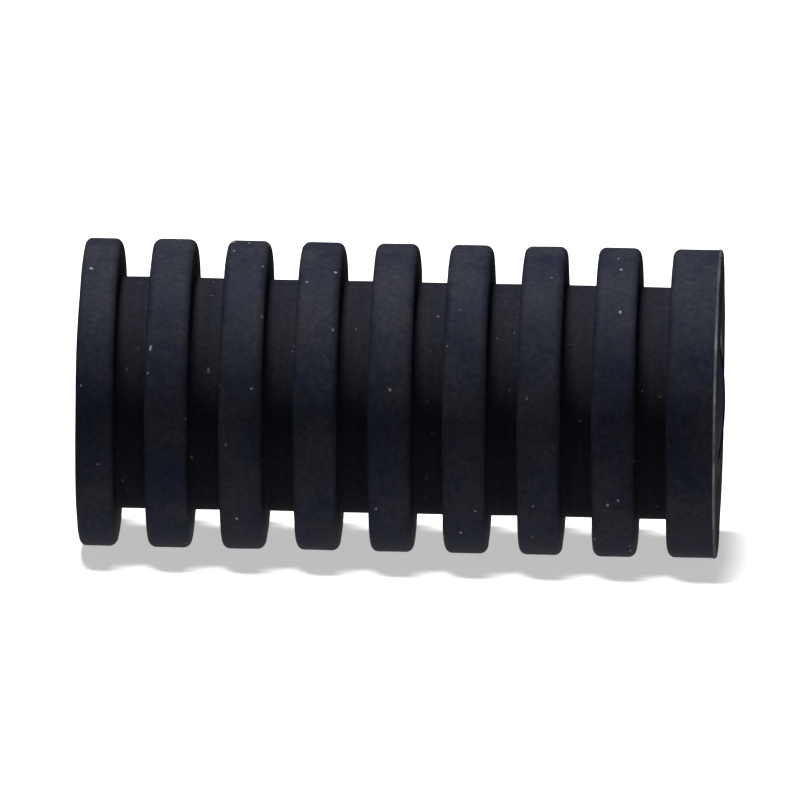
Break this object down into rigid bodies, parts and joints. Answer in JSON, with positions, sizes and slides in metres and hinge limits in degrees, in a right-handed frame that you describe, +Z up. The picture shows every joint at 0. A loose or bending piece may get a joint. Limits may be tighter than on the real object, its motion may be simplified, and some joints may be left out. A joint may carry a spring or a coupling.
{
  "type": "vibration dampener",
  "caption": "Ribbed soft-rubber barrel dampener for a strung racket: deep narrow grooves grip the strings, around a plain core rod.",
  "frame": {"origin": "middle of the barrel, on its axis, halfway between the two end faces of the sleeve", "axes": "+X along the barrel's axis towards the wider end rib, +Z up as the barrel lies on its side"},
  "size_m": [0.0254, 0.012, 0.012],
  "materials": {
    "sleeve_rubber": "satin moulded elastomer, blue-black, lightly dusty",
    "core_rubber": "smooth, slightly domed end, darker and bluer than the sleeve"
  },
  "bodies": {
    "root": {"sleeve_wall": "sleeve_rubber", "sleeve_ribs": "sleeve_rubber", "core_rod": "core_rubber"}
  },
  "joints": []
}
